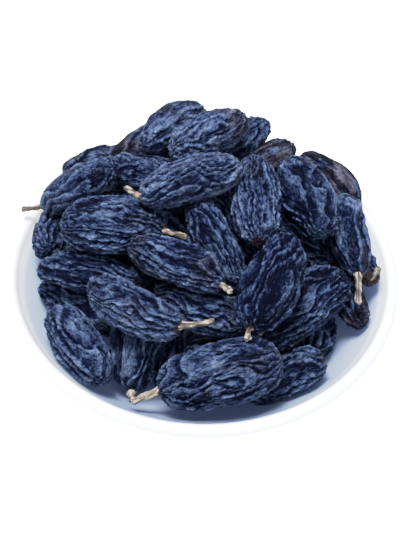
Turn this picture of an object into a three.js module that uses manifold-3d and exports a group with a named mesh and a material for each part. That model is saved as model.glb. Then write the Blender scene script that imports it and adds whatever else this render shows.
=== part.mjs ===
// A small white footed bowl heaped with black raisins, whole dried grapes that still carry their
// woody fruit stalks. Millimetres, +Z up. The origin is the middle of the foot, on the table.
// +X is the right-hand side and -Y the front of the heap.
import * as THREE from "three";
import { mergeVertices } from "three/addons/utils/BufferGeometryUtils.js";
import Module from "manifold-3d";

const wasm = await Module();
wasm.setup();
const degrees = THREE.MathUtils.degToRad;

// Bowl
const bowlHeight = 35; // table to the top of the lip
const rimRadius = 50; // widest radius, at the lip
const lipRadius = 1.6; // half the thickness of the rounded lip
const hollowDepth = 28; // lip to the lowest point inside
const floorThickness = 4;
const footRadius = 24;
const footInnerRadius = 20;
const footChamfer = 0.6; // at both edges of the foot
const bowlSides = 56;

// Heap
const heapAxis = new THREE.Vector3(-1, 5, 0); // the heap leans back from the bowl's middle
const heapRadius = 46;
const heapSteepness = 2.5; // slope at the heap's edge
const clearance = 0.45; // gap kept between neighbours while they settle
const longestPush = 1; // most that two raisins are pushed apart in one round
const stuckDepth = 1.5; // how far raisins of one stuck clump run into each other
const stuckPull = 0.2; // step of a stuck raisin towards its clump's middle
const freeSight = 0.85; // how freely a raisin in view moves along the line of sight
const lineOfSight = new THREE.Vector3(0, -0.65, 0.76); // from the heap to a person who sits at it

// Raisins
const thicknessShare = 0.8; // a raisin's thickness as a share of its width
const endBluntness = 2.7; // 2 gives an ellipsoid's ends, more gives blunter ones
const furrowDepth = 0.13; // depth of the lengthwise furrows as a share of the radius
const seenRings = 9; // rings of faces from end to end of a raisin in view
const backRings = 7;
const stuckSides = 8;
const stuckRings = 5;

// Fruit stalks
const stalkRadius = 0.8;
const stalkRoot = 2.4; // how far a stalk is sunk into its raisin
const stalkLead = 1.2; // how far it runs on along its raisin before it bends
const stalkRoom = 1.5; // free space that a raisin keeps in front of its stalk end
const stalkRoomWidth = 0.9; // and to each side of the stalk there
const stalkSides = 6;
const stalkProfile = [[0, 0], [1.5, 0], [1.55, 0.24], [1, 0.45], [0.92, 0.8], [1.3, 0.97], [0, 1]];

// Finishes
const porcelain = { color: 0xf4f5f7, roughness: 0.16, metalness: 0 };
const slateSkin = { color: 0x232c42, roughness: 0.62, metalness: 0 };
const navySkin = { color: 0x1c2438, roughness: 0.66, metalness: 0 };
const bloomedSkin = { color: 0x2b3550, roughness: 0.6, metalness: 0 };
const purpleSkin = { color: 0x342c3f, roughness: 0.64, metalness: 0 };

// A small seeded generator, so that every build gives the same heap.
function seededRandom(seed) {
  let state = seed >>> 0;
  return () => {
    state = (Math.imul(state, 1664525) + 1013904223) >>> 0;
    return state / 4294967296;
  };
}

const random = seededRandom(4177);
const between = (low, high) => low + (high - low) * random();

// The raisins that show from the front and above. at is the middle of each, with its height
// counted from the lip. heading is the way its stalk end points in plan, and pitch how far that
// end rises, both in degrees. size is its length and width. A stalk has its own heading, pitch and
// length, and may have a thickness of its own as a share of the others'.
const seenRaisins = [
  {
    name: "crown_left",
    at: [-8, 23, 20.5], heading: 55, pitch: -15, size: [23, 11.5],
    skin: bloomedSkin,
  },
  { name: "crown_right", at: [-1, 21.5, 23], heading: -138, pitch: 0, size: [24, 13] },
  { name: "crown_back_left", at: [-16, 25, 13], heading: -140, pitch: 0, size: [23, 10] },
  { name: "back_left", at: [-26, 24, 4.5], heading: 150, pitch: -25, size: [24, 10], skin: purpleSkin },
  { name: "back_left_outer", at: [-28, 24, 6], heading: -125, pitch: 15, size: [24, 10] },
  {
    name: "left_long",
    at: [-30, 12.5, 10.5], heading: -172, pitch: -33, size: [25, 11],
    stalk: [-177, -7, 7.5], skin: bloomedSkin,
  },
  { name: "upper_left", at: [-15.5, 11.5, 18], heading: 150, pitch: -22, size: [24, 11] },
  { name: "top", at: [-4, 3, 25], heading: -160, pitch: -8, size: [25, 12], stalk: [149, 42, 5.5] },
  { name: "upright", at: [12, 1, 21], heading: -86, pitch: -8, size: [26, 12] },
  { name: "back_dark", at: [16, 23, 12.5], heading: -165, pitch: 8, size: [20, 10.5], skin: purpleSkin },
  { name: "back_curled", at: [22.5, 20, 10.5], heading: 72, pitch: -5, size: [19, 9] },
  {
    name: "back_right",
    at: [33, 24, 4], heading: -50, pitch: -6, size: [23, 12],
    stalk: [-115, 0, 4.5], skin: purpleSkin,
  },
  { name: "right_upper", at: [24, 9, 12.5], heading: 118, pitch: 8, size: [24, 14] },
  {
    name: "right_ridged",
    at: [24, 0, 10.5], heading: -27, pitch: -33, size: [23, 12.5],
    stalk: [-120, -5, 6],
  },
  {
    name: "right_big",
    at: [34, 4.5, 3], heading: -76, pitch: -8, size: [24, 12.5],
    stalk: [-92, -35, 7],
  },
  {
    name: "right_edge",
    at: [38, 2, -2.5], heading: -105, pitch: 18, size: [22, 9.5],
    stalk: [60, 55, 5.5],
  },
  {
    name: "middle_big",
    at: [16, -18, 13], heading: -108, pitch: -22, size: [25, 14.5],
    stalk: [-80, 0, 3],
  },
  { name: "middle_slanting", at: [3, -12, 19], heading: 116, pitch: 20, size: [24.5, 10.5] },
  {
    name: "middle_left",
    at: [-6, -16, 17], heading: -24, pitch: -5, size: [23.5, 10.5],
    stalk: [-20, -16, 6.5],
  },
  {
    name: "left_big",
    at: [-22, -5, 15.5], heading: -21, pitch: 19, size: [27, 15.5],
    stalk: [-16, 0, 7], skin: bloomedSkin,
  },
  {
    name: "left_behind",
    at: [-26, 7, 12], heading: 176, pitch: -26, size: [25, 11],
    stalk: [-136, -31, 7],
  },
  { name: "left_edge", at: [-38, 7, -1], heading: 104, pitch: -20, size: [22, 9.5] },
  { name: "left_edge_low", at: [-37.5, -2, -0.5], heading: -139, pitch: -40, size: [20, 9.5] },
  { name: "left_flat", at: [-27, -12, 6], heading: 168, pitch: -25, size: [27, 10.5], skin: navySkin },
  { name: "left_low", at: [-31.5, -15.5, -1.5], heading: 150, pitch: -15, size: [25, 12] },
  {
    name: "front_left",
    at: [-15, -23, 7], heading: -25, pitch: 0, size: [24, 11.5],
    stalk: [7, 18, 8.5],
  },
  {
    name: "front_left_wall",
    at: [-30, -29, -5], heading: -39, pitch: 3, size: [23, 14],
    skin: bloomedSkin,
  },
  {
    name: "front_stubby",
    at: [-15, -28.5, 0], heading: -105, pitch: -42, size: [19, 14],
    stalk: [-102, 40, 6, 1.4],
  },
  {
    name: "front_dark",
    at: [-5, -26, -5], heading: -129, pitch: -25, size: [20, 9.5],
    stalk: [-80, 30, 3.5], skin: navySkin,
  },
  {
    name: "front_big",
    at: [6, -32, -3], heading: -165, pitch: -5, size: [28.5, 16.5],
    stalk: [-148, -6, 7.5, 1.2],
  },
  {
    name: "low_middle",
    at: [1, -21, 5], heading: -15, pitch: -11, size: [24, 12],
    stalk: [-43, -30, 4],
  },
  { name: "right_low", at: [25.5, -18.5, 3.5], heading: -134, pitch: 3, size: [28, 14.5] },
  { name: "right_low_edge", at: [33, -19.5, -6], heading: -122, pitch: 3, size: [24, 12] },
  { name: "right_wall", at: [37, -7, -4], heading: 95, pitch: 18, size: [22, 10], skin: navySkin },
  { name: "front_right_wall", at: [21.5, -31.5, -8], heading: -144, pitch: -7, size: [22, 11] },
  {
    name: "front_right_dark",
    at: [18, -25, -11], heading: -151, pitch: 12, size: [22, 10],
    skin: navySkin,
  },
  { name: "gap_upper", at: [-8, -1, 12], heading: 140, pitch: -4, size: [22, 10], skin: navySkin },
  { name: "gap_right", at: [30, 17, 1], heading: 110, pitch: 5, size: [22, 10.5], skin: navySkin },
  { name: "gap_front", at: [7, -23, -4], heading: 160, pitch: 4, size: [21, 10], skin: navySkin },
  { name: "gap_middle", at: [5, 4, 12], heading: 132, pitch: 5, size: [23, 11], skin: navySkin },
];

// The raisins round the back, in rows up the heap: how many, how far from the heap's axis, how
// high above the lip, and the sweep of bearings that the row covers.
const backRows = [
  { count: 6, reach: 36, height: -7, from: 20, to: 160 },
  { count: 4, reach: 31, height: 0, from: 50, to: 128 },
  { count: 2, reach: 24, height: 9, from: 75, to: 108 },
];

// The raisins deep in the heap stick together in clumps of a few: the middle of each clump.
const raisinsInClump = 5;
const stuckClumps = [
  { name: "stuck_raisins_bottom", at: [0, 2, -19] },
  { name: "stuck_raisins_left", at: [-20, 4, -8] },
  { name: "stuck_raisins_right", at: [20, 2, -8] },
  { name: "stuck_raisins_front", at: [2, -14, -9] },
  { name: "stuck_raisins_top", at: [-2, 14, 1] },
];

// The hollow's wall and the outside are two spherical caps that start at the lip's mid-height.
const lipMiddle = rimRadius - lipRadius;
const hollowEdge = rimRadius - 2 * lipRadius;
const capRadius = (edge, depth) => (edge * edge + depth * depth) / (2 * depth);
const hollowRadius = capRadius(hollowEdge, hollowDepth - lipRadius);
const outsideDepth = hollowDepth + floorThickness;
const outsideRadius = capRadius(rimRadius, outsideDepth - lipRadius);
const hollowCentre = hollowRadius - hollowDepth;
const outsideCentre = outsideRadius - outsideDepth;

// Points of a cap between two radii, from the first to the second, heights counted from the lip.
function capPoints(radius, centre, first, second, steps) {
  const points = [];
  const firstAngle = Math.asin(first / radius);
  const secondAngle = Math.asin(second / radius);
  for (let step = 0; step <= steps; step += 1) {
    const angle = THREE.MathUtils.lerp(firstAngle, secondAngle, step / steps);
    points.push(new THREE.Vector2(radius * Math.sin(angle), centre - radius * Math.cos(angle)));
  }
  return points;
}

// The bowl's section, from the middle of the underside round the foot and the lip and back to the
// middle of the hollow, spun round the axis.
function bowlGeometry() {
  const profile = [];
  const floor = -bowlHeight;
  profile.push(...capPoints(outsideRadius, outsideCentre, 0, footInnerRadius, 3));
  profile.push(new THREE.Vector2(footInnerRadius, floor + footChamfer));
  profile.push(new THREE.Vector2(footInnerRadius + footChamfer, floor));
  profile.push(new THREE.Vector2(footRadius - footChamfer, floor));
  profile.push(new THREE.Vector2(footRadius, floor + footChamfer));
  profile.push(...capPoints(outsideRadius, outsideCentre, footRadius, rimRadius, 5));
  const lipSteps = 6;
  for (let step = 1; step < lipSteps; step += 1) {
    const angle = (Math.PI * step) / lipSteps;
    const radius = lipMiddle + lipRadius * Math.cos(angle);
    profile.push(new THREE.Vector2(radius, lipRadius * Math.sin(angle) - lipRadius));
  }
  profile.push(...capPoints(hollowRadius, hollowCentre, hollowEdge, 0, 6));
  return new THREE.LatheGeometry(profile, bowlSides);
}

// The heap's outward direction over a place.
function heapNormal(place) {
  const x = (place.x - heapAxis.x) / heapRadius;
  const y = (place.y - heapAxis.y) / heapRadius;
  const slope = heapSteepness * Math.hypot(x, y);
  return new THREE.Vector3(x * slope, y * slope, 1).normalize();
}

// The direction of a heading and a pitch, both in degrees.
function direction(heading, pitch) {
  const level = Math.cos(degrees(pitch));
  return new THREE.Vector3(
    level * Math.cos(degrees(heading)),
    level * Math.sin(degrees(heading)),
    Math.sin(degrees(pitch)),
  );
}

// The turn that puts a raisin's length along its heading and its flat side to the heap's outside.
function turnFor(heading, pitch, roll, place) {
  const length = direction(heading, pitch);
  const flat = heapNormal(place);
  flat.addScaledVector(length, -flat.dot(length)).normalize();
  flat.applyAxisAngle(length, degrees(roll));
  const width = new THREE.Vector3().crossVectors(flat, length);
  const basis = new THREE.Matrix4().makeBasis(length, width, flat);
  return new THREE.Quaternion().setFromRotationMatrix(basis);
}

// A raisin before it is meshed. Its own x runs to the stalk end, y across its width and z through
// its thickness. It narrows to one end, bows sideways and arches a little.
function raisin({ name, at, heading, pitch, size, stalk, clump, skin = slateSkin }) {
  const place = new THREE.Vector3(...at);
  const [length, width] = size;
  const roll = between(-25, 25);
  return {
    name,
    clump,
    skin,
    stalk,
    halfLength: length / 2,
    halfWidth: width / 2,
    halfThickness: (width / 2) * thicknessShare * between(0.94, 1.06),
    taper: between(-0.16, 0.1),
    bow: between(-0.13, 0.13),
    arch: between(-0.1, 0.02),
    place,
    turn: turnFor(heading, pitch, roll, place),
  };
}

// A point of a raisin's outer form, in its own frame. along runs from -1 to 1.
function formPoint(fruit, along, around, inset = 1) {
  const girth = Math.sqrt(Math.max(0, 1 - Math.abs(along) ** endBluntness)) * inset;
  const narrowing = 1 + fruit.taper * along;
  const curve = fruit.halfLength * (along * along - 0.4);
  return new THREE.Vector3(
    fruit.halfLength * along,
    fruit.halfWidth * narrowing * girth * Math.cos(around) + fruit.bow * curve,
    fruit.halfThickness * narrowing * girth * Math.sin(around) + fruit.arch * curve,
  );
}

// How deep a point in a raisin's own frame lies under its form, negative outside, and the way out.
const wayOut = new THREE.Vector3();
function depthUnder(fruit, point) {
  const along = point.x / fruit.halfLength;
  const narrowing = Math.max(0.5, 1 + fruit.taper * along);
  const reach = Math.min(along * along, 1.4);
  const y = point.y - fruit.bow * fruit.halfLength * (reach - 0.4);
  const z = point.z - fruit.arch * fruit.halfLength * (reach - 0.4);
  const width = fruit.halfWidth * narrowing;
  const thickness = fruit.halfThickness * narrowing;
  const lengthPart = Math.abs(along) ** endBluntness;
  const level = Math.sqrt(lengthPart + (y / width) ** 2 + (z / thickness) ** 2) + 1e-6;
  const slopeY = y / (width * width);
  const slopeZ = z / (thickness * thickness);
  const bending = slopeY * fruit.bow + slopeZ * fruit.arch;
  const slopeX = (endBluntness * lengthPart) / (2 * point.x || 1e-6) - 2 * along * bending;
  wayOut.set(slopeX / level, slopeY / level, slopeZ / level);
  const slope = wayOut.length() + 1e-9;
  wayOut.divideScalar(slope);
  return (1 - level) / slope;
}

// Points spread over a raisin's form, and round the foot of its stalk, which feel for neighbours.
function feelers(fruit) {
  const points = [formPoint(fruit, 1, 0), formPoint(fruit, -1, 0)];
  for (const [along, count] of [[0.95, 6], [0.8, 9], [0.55, 12], [0.28, 12], [0, 12]]) {
    for (const side of along > 0 ? [1, -1] : [1]) {
      for (let step = 0; step < count; step += 1) {
        points.push(formPoint(fruit, side * along, (2 * Math.PI * (step + 0.5 * along)) / count));
      }
    }
  }
  if (fruit.stalk) {
    for (const side of [-stalkRoomWidth, stalkRoomWidth]) {
      points.push(formPoint(fruit, 1, 0).add(new THREE.Vector3(stalkRoom, side, 0)));
      points.push(formPoint(fruit, 1, 0).add(new THREE.Vector3(stalkRoom, 0, side)));
    }
  }
  return points;
}

// Between a raisin's own frame and the heap's.
const toHeap = (fruit, point) => point.clone().applyQuaternion(fruit.turn).add(fruit.place);
const forwardOf = (fruit) => new THREE.Vector3(1, 0, 0).applyQuaternion(fruit.turn);

// Moves and turns a raisin by a push at a point of it.
const furthestTurn = 0.1; // radians in one push
const lever = new THREE.Vector3();
const spin = new THREE.Quaternion();
function pushRaisin(fruit, point, push, amount) {
  fruit.place.addScaledVector(push, amount * fruit.looseness);
  lever.subVectors(point, fruit.place).cross(push);
  const angle = (amount * fruit.looseness * lever.length()) / fruit.gyration;
  if (lever.lengthSq() > 1e-9) {
    spin.setFromAxisAngle(lever.normalize(), Math.min(angle, furthestTurn));
    fruit.turn.premultiply(spin).normalize();
  }
}

// How readily a raisin gives way to a push at a point.
function give(fruit, point, push) {
  lever.subVectors(point, fruit.place).cross(push);
  return fruit.looseness * (1 + lever.lengthSq() / fruit.gyration);
}

// Pushes one raisin's deepest feeler out of another raisin.
const local = new THREE.Vector3();
const unturn = new THREE.Quaternion();
const relativeTurn = new THREE.Quaternion();
const offset = new THREE.Vector3();
function partPair(feeling, other, gap) {
  unturn.copy(other.turn).invert();
  relativeTurn.copy(unturn).multiply(feeling.turn);
  offset.subVectors(feeling.place, other.place).applyQuaternion(unturn);
  let deepest = -gap;
  let deepestPoint = null;
  for (const point of feeling.feelers) {
    local.copy(point).applyQuaternion(relativeTurn).add(offset);
    const near = Math.abs(local.x) < other.halfLength + 1;
    const depth = near ? depthUnder(other, local) : -gap;
    if (depth > deepest) {
      deepest = depth;
      deepestPoint = point;
      other.push.copy(wayOut);
    }
  }
  if (deepestPoint === null) {
    return;
  }
  const push = other.push.applyQuaternion(other.turn);
  const at = toHeap(feeling, deepestPoint);
  const way = Math.min(deepest + gap, longestPush);
  const amount = way / (give(feeling, at, push) + give(other, at, push));
  pushRaisin(feeling, at, push, amount);
  pushRaisin(other, at, push.clone().negate(), amount);
}

// Pushes two raisins apart as if they were round-ended rods, which frees those that cross.
function partRods(one, two, gap) {
  const forwardOne = forwardOf(one);
  const forwardTwo = forwardOf(two);
  const apart = new THREE.Vector3().subVectors(one.place, two.place);
  const facing = forwardOne.dot(forwardTwo);
  const reachOne = one.halfLength - one.rodRadius;
  const reachTwo = two.halfLength - two.rodRadius;
  const alongOne = forwardOne.dot(apart);
  const alongTwo = forwardTwo.dot(apart);
  const spread = Math.max(1 - facing * facing, 1e-4);
  let shareOne = THREE.MathUtils.clamp((facing * alongTwo - alongOne) / spread, -reachOne, reachOne);
  const shareTwo = THREE.MathUtils.clamp(facing * shareOne + alongTwo, -reachTwo, reachTwo);
  shareOne = THREE.MathUtils.clamp(facing * shareTwo - alongOne, -reachOne, reachOne);
  const pointOne = one.place.clone().addScaledVector(forwardOne, shareOne);
  const pointTwo = two.place.clone().addScaledVector(forwardTwo, shareTwo);
  const push = pointOne.clone().sub(pointTwo);
  const distance = push.length();
  const depth = one.rodRadius + two.rodRadius + gap - distance;
  if (depth <= 0) {
    return;
  }
  if (distance < 0.5) {
    push.crossVectors(forwardOne, forwardTwo);
  }
  push.normalize();
  const way = Math.min(depth, longestPush);
  const amount = way / (give(one, pointOne, push) + give(two, pointTwo, push));
  pushRaisin(one, pointOne, push, amount);
  pushRaisin(two, pointTwo, push.negate(), amount);
}

// How far a point is too near to the bowl's lip or wall, and the way clear of it.
const wayClear = new THREE.Vector3();
function depthInBowl(point) {
  if (point.z > -lipRadius) {
    const radius = Math.hypot(point.x, point.y);
    const outward = radius - lipMiddle;
    wayClear.set((point.x / radius) * outward, (point.y / radius) * outward, point.z + lipRadius);
    const distance = wayClear.length();
    wayClear.normalize();
    return lipRadius - distance;
  }
  wayClear.set(point.x, point.y, point.z - hollowCentre);
  const distance = wayClear.length();
  wayClear.normalize().negate();
  return distance - hollowRadius;
}

// Pushes a raisin's deepest feeler back inside the bowl, clear of its wall and lip.
function keepInBowl(fruit) {
  let deepest = 0;
  let deepestAt = null;
  const push = new THREE.Vector3();
  for (const point of fruit.feelers) {
    local.copy(point).applyQuaternion(fruit.turn).add(fruit.place);
    const depth = depthInBowl(local) + clearance;
    if (depth > deepest) {
      deepest = depth;
      deepestAt = local.clone();
      push.copy(wayClear);
    }
  }
  if (deepestAt) {
    const way = Math.min(deepest, longestPush);
    pushRaisin(fruit, deepestAt, push, way / give(fruit, deepestAt, push));
  }
}

// Draws a raisin back to where it was put, and lets it drift: one in view away from the eye, one
// of a clump to the clump's middle, and any other down into the heap.
const homeward = new THREE.Vector3();
function driftRaisin(fruit, { drift, hold }) {
  homeward.subVectors(fruit.home.place, fruit.place);
  if (fruit.seen) {
    homeward.addScaledVector(lineOfSight, -freeSight * homeward.dot(lineOfSight));
  }
  fruit.place.addScaledVector(homeward, hold * fruit.grip);
  fruit.turn.slerp(fruit.home.turn, hold * fruit.grip);
  if (fruit.seen) {
    fruit.place.addScaledVector(lineOfSight, -drift);
  } else if (fruit.clump) {
    homeward.subVectors(fruit.clump.middle, fruit.place).clampLength(0, 1);
    fruit.place.addScaledVector(homeward, hold > 0 ? stuckPull : 0);
  } else {
    fruit.place.addScaledVector(heapNormal(fruit.place), -drift);
  }
}

// One round of settling: every raisin drifts, then touching pairs and the bowl push back.
function settleOnce(fruits, stage) {
  for (const fruit of fruits) {
    driftRaisin(fruit, stage);
  }
  for (const [index, one] of fruits.entries()) {
    for (const two of fruits.slice(index + 1)) {
      const reach = one.halfLength + two.halfLength + 1;
      const gap = one.clump && one.clump === two.clump ? -stuckDepth : clearance;
      if (one.place.distanceToSquared(two.place) < reach * reach) {
        if (stage.asRods) {
          partRods(one, two, gap);
        } else {
          partPair(one, two, gap);
          partPair(two, one, gap);
        }
      }
    }
    keepInBowl(one);
  }
}

// The rows round the back, laid along the rim with their headings well mixed.
function backRaisins() {
  const fruits = [];
  for (const { count, reach, height, from, to } of backRows) {
    for (let number = 0; number < count; number += 1) {
      const bearing = degrees(THREE.MathUtils.lerp(from, to, number / (count - 1)) + between(-4, 4));
      const x = heapAxis.x + reach * Math.cos(bearing);
      const y = heapAxis.y + reach * Math.sin(bearing);
      const heading = THREE.MathUtils.radToDeg(bearing) + 90 + between(-45, 45);
      fruits.push(raisin({
        name: `back_${fruits.length + 1}`,
        at: [x, y, height + between(-1.5, 1.5)],
        heading: random() < 0.5 ? heading : heading + 180,
        pitch: between(-20, 20),
        size: [between(21, 27), between(10, 13)],
        stalk: random() < 0.6 ? [between(60, 120), between(-30, -10), between(4, 6)] : undefined,
      }));
    }
  }
  return fruits;
}

// The raisins of the stuck clumps, thrown down round each clump's middle.
function stuckRaisins() {
  const fruits = [];
  for (const { name, at } of stuckClumps) {
    const clump = { name, middle: new THREE.Vector3(...at) };
    for (let number = 1; number <= raisinsInClump; number += 1) {
      fruits.push(raisin({
        name: `${name}_${number}`,
        clump,
        at: [at[0] + between(-8, 8), at[1] + between(-8, 8), at[2] + between(-5, 5)],
        heading: between(0, 360),
        pitch: between(-35, 35),
        size: [between(20, 24), between(10.5, 12.5)],
      }));
    }
  }
  return fruits;
}

// Every raisin in its settled place. Those in view give way the least and are held the most. The
// first rounds part crossed raisins, the next pack them, and the last only clear their contacts.
function settledHeap() {
  const withGrip = (fruits, grip) => fruits.map((fruit) => Object.assign(fruit, grip));
  const fruits = [
    ...withGrip(seenRaisins.map(raisin), { seen: true, looseness: 0.35, grip: 1 }),
    ...withGrip(backRaisins(), { seen: false, looseness: 0.7, grip: 0.5 }),
    ...withGrip(stuckRaisins(), { seen: false, looseness: 1, grip: 0.1 }),
  ];
  for (const fruit of fruits) {
    fruit.home = { place: fruit.place.clone(), turn: fruit.turn.clone() };
    fruit.feelers = feelers(fruit);
    fruit.gyration = 0.2 * (fruit.halfLength ** 2 + fruit.halfWidth ** 2);
    fruit.rodRadius = 0.5 * (fruit.halfWidth + fruit.halfThickness);
    fruit.push = new THREE.Vector3();
  }
  const stages = [
    { rounds: 150, drift: 0, hold: 0.06, asRods: true },
    { rounds: 150, drift: 0.05, hold: 0.04, asRods: false },
    { rounds: 100, drift: 0.02, hold: 0.01, asRods: false },
    { rounds: 120, drift: 0, hold: 0, asRods: false },
  ];
  for (const stage of stages) {
    for (let round = 0; round < stage.rounds; round += 1) {
      settleOnce(fruits, stage);
    }
  }
  return fruits;
}

// Draws for one raisin come from its own generator, so that a change to one leaves the rest alone.
function wrinkleDraws(name) {
  let seed = 7;
  for (const letter of name) {
    seed = (seed * 31 + letter.charCodeAt(0)) % 1000003;
  }
  return seededRandom(seed);
}

// A raisin's skin: a sphere's grid laid on the form, with every second column of points sunk into
// a furrow. The columns wander a little, so that crests and furrows run crooked.
function skinGeometry(fruit, sides, rings) {
  const draw = wrinkleDraws(fruit.name);
  const columns = [];
  for (let column = 0; column < sides; column += 1) {
    const furrow = column % 2 === 1;
    columns.push({
      depth: furrow ? furrowDepth * (0.7 + 0.7 * draw()) : 0.04 * draw(),
      wander: ((draw() - 0.5) * Math.PI) / sides,
      phase: 6 * draw(),
    });
  }
  const geometry = new THREE.SphereGeometry(1, sides, rings);
  const positions = geometry.attributes.position;
  for (let index = 0; index < positions.count; index += 1) {
    const row = Math.floor(index / (sides + 1));
    const column = (index % (sides + 1)) % sides;
    const { depth, wander, phase } = columns[column];
    const rise = Math.cos((Math.PI * row) / rings);
    const along = Math.sign(rise) * Math.abs(rise) ** (2 / endBluntness);
    const fade = 1 - Math.abs(rise) ** 6;
    const inset = 1 - depth * fade * (0.85 + 0.15 * Math.sin(7 * along + phase));
    const around = (2 * Math.PI * column) / sides + wander * Math.sin(3 * along + phase);
    const point = formPoint(fruit, along, around, inset);
    positions.setXYZ(index, point.x, point.y, point.z);
  }
  return geometry;
}

// A fruit stalk: a lathed stick, thick at its foot and with a knob where it broke off the bunch,
// bent along a curve.
function stalkGeometry(curve, thickness) {
  const profile = stalkProfile.map(([radius, share]) => new THREE.Vector2(radius * thickness, share));
  const geometry = new THREE.LatheGeometry(profile, stalkSides);
  const positions = geometry.attributes.position;
  for (let index = 0; index < positions.count; index += 1) {
    const share = positions.getY(index);
    const forward = curve.getTangent(share);
    const side = new THREE.Vector3(0, 0, 1).cross(forward).normalize();
    const up = new THREE.Vector3().crossVectors(side, forward);
    const point = curve.getPoint(share);
    point.addScaledVector(side, positions.getX(index));
    point.addScaledVector(up, positions.getZ(index));
    positions.setXYZ(index, point.x, point.y, point.z);
  }
  return geometry;
}

// The line that a stalk follows, in its raisin's frame: out of the tip, then over to a direction.
function stalkCurve(fruit, towards, length) {
  const forward = new THREE.Vector3(1, 0, 0);
  const tip = formPoint(fruit, 1, 0);
  const start = tip.clone().addScaledVector(forward, -stalkRoot);
  const bend = tip.clone().addScaledVector(forward, stalkLead);
  const end = bend.clone().addScaledVector(towards, length - stalkLead);
  return new THREE.QuadraticBezierCurve3(start, bend, end);
}

// Whether a stalk's free part stays clear of the other raisins, the stalks set so far and the bowl.
function stalkIsClear(fruit, curve, room, fruits, stalkPoints) {
  for (const share of [0.5, 0.6, 0.7, 0.8, 0.9, 1]) {
    const point = toHeap(fruit, curve.getPoint(share));
    const inRaisin = fruits.some((other) => {
      if (other === fruit || other.place.distanceTo(point) > other.halfLength + 2 * room) {
        return false;
      }
      local.copy(point).sub(other.place).applyQuaternion(other.turn.clone().invert());
      return depthUnder(other, local) > -room;
    });
    const inStalk = stalkPoints.some((other) => (
      other.fruit !== fruit && other.point.distanceTo(point) < 2 * room
    ));
    if (inRaisin || inStalk || depthInBowl(point) > -room) {
      return false;
    }
  }
  return true;
}

// Sets a stalk in its wanted direction, or in the nearest one that is clear. One with no clear
// direction has broken off.
function setStalk(fruit, fruits, stalkPoints) {
  const [heading, pitch, wantedLength, share = 1] = fruit.stalk;
  const thickness = stalkRadius * share;
  const back = fruit.turn.clone().invert();
  const wanted = direction(heading, pitch);
  const across = new THREE.Vector3(0, 0, 1).cross(wanted).normalize();
  for (const shortening of [1, 0.75, 0.5]) {
    for (const tilt of [0, 12, 24, 36, 50, 65, 80]) {
      for (let around = 0; around < 360; around += tilt > 0 ? 45 : 360) {
        const towards = wanted.clone().applyAxisAngle(across, degrees(-tilt));
        towards.applyAxisAngle(wanted, degrees(around)).applyQuaternion(back);
        const curve = stalkCurve(fruit, towards, wantedLength * shortening);
        if (stalkIsClear(fruit, curve, 1.3 * thickness + clearance, fruits, stalkPoints)) {
          for (const part of [0.4, 0.6, 0.8, 1]) {
            stalkPoints.push({ fruit, point: toHeap(fruit, curve.getPoint(part)) });
          }
          return stalkGeometry(curve, thickness);
        }
      }
    }
  }
  return null;
}

// Drops the triangles that a pole has flattened to a line.
function withoutSlivers(index) {
  const kept = [];
  for (let corner = 0; corner < index.length; corner += 3) {
    const [a, b, c] = index.slice(corner, corner + 3);
    if (a !== b && b !== c && c !== a) {
      kept.push(a, b, c);
    }
  }
  return kept;
}

// A closed geometry as a solid that can be joined to others, and back again.
function toSolid(geometry) {
  const plain = geometry.clone();
  plain.deleteAttribute("normal");
  plain.deleteAttribute("uv");
  const merged = mergeVertices(plain, 1e-4);
  return new wasm.Manifold(new wasm.Mesh({
    numProp: 3,
    vertProperties: new Float32Array(merged.attributes.position.array),
    triVerts: new Uint32Array(withoutSlivers(merged.index.array)),
  }));
}

function fromSolid(solid) {
  const { vertProperties, triVerts } = solid.getMesh();
  const geometry = new THREE.BufferGeometry();
  geometry.setAttribute("position", new THREE.BufferAttribute(vertProperties, 3));
  geometry.setIndex(new THREE.BufferAttribute(triVerts, 1));
  geometry.computeVertexNormals();
  return geometry;
}

function namedMesh(name, geometry, finish) {
  const mesh = new THREE.Mesh(geometry, new THREE.MeshStandardMaterial(finish));
  mesh.name = name;
  return mesh;
}

function bowlMesh() {
  const mesh = namedMesh("bowl", bowlGeometry(), porcelain);
  mesh.rotation.x = Math.PI / 2;
  mesh.position.z = bowlHeight;
  return mesh;
}

// One raisin with its stalk. A wider raisin has more furrows.
function raisinMesh(fruit, stalk) {
  const sides = 2 * Math.round(fruit.halfWidth);
  const skin = toSolid(skinGeometry(fruit, sides, fruit.seen ? seenRings : backRings));
  const whole = stalk ? skin.add(toSolid(stalk)) : skin;
  const mesh = namedMesh(`raisin_${fruit.name}`, fromSolid(whole), fruit.skin);
  mesh.quaternion.copy(fruit.turn);
  mesh.position.copy(fruit.place);
  return mesh;
}

// The raisins of one clump, which have grown into one sticky body.
function clumpMesh(name, members) {
  const solids = members.map((fruit) => {
    const geometry = skinGeometry(fruit, stuckSides, stuckRings);
    return toSolid(geometry.applyQuaternion(fruit.turn).translate(...fruit.place.toArray()));
  });
  const whole = solids.reduce((joined, next) => joined.add(next));
  return namedMesh(name, fromSolid(whole), navySkin);
}

// The heap's heights are counted from the lip, so its group stands at the bowl's height.
function heapGroup() {
  const heap = new THREE.Group();
  const fruits = settledHeap();
  const stalkPoints = [];
  for (const fruit of fruits.filter(({ clump }) => !clump)) {
    const stalk = fruit.stalk ? setStalk(fruit, fruits, stalkPoints) : null;
    heap.add(raisinMesh(fruit, stalk));
  }
  for (const { name } of stuckClumps) {
    heap.add(clumpMesh(name, fruits.filter(({ clump }) => clump?.name === name)));
  }
  heap.position.z = bowlHeight;
  return heap;
}

const group = new THREE.Group();
group.add(bowlMesh(), heapGroup());
export default group;
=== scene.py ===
import math

import bmesh
import bpy
import numpy as np
from mathutils import Matrix, Vector
from mathutils.bvhtree import BVHTree


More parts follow.
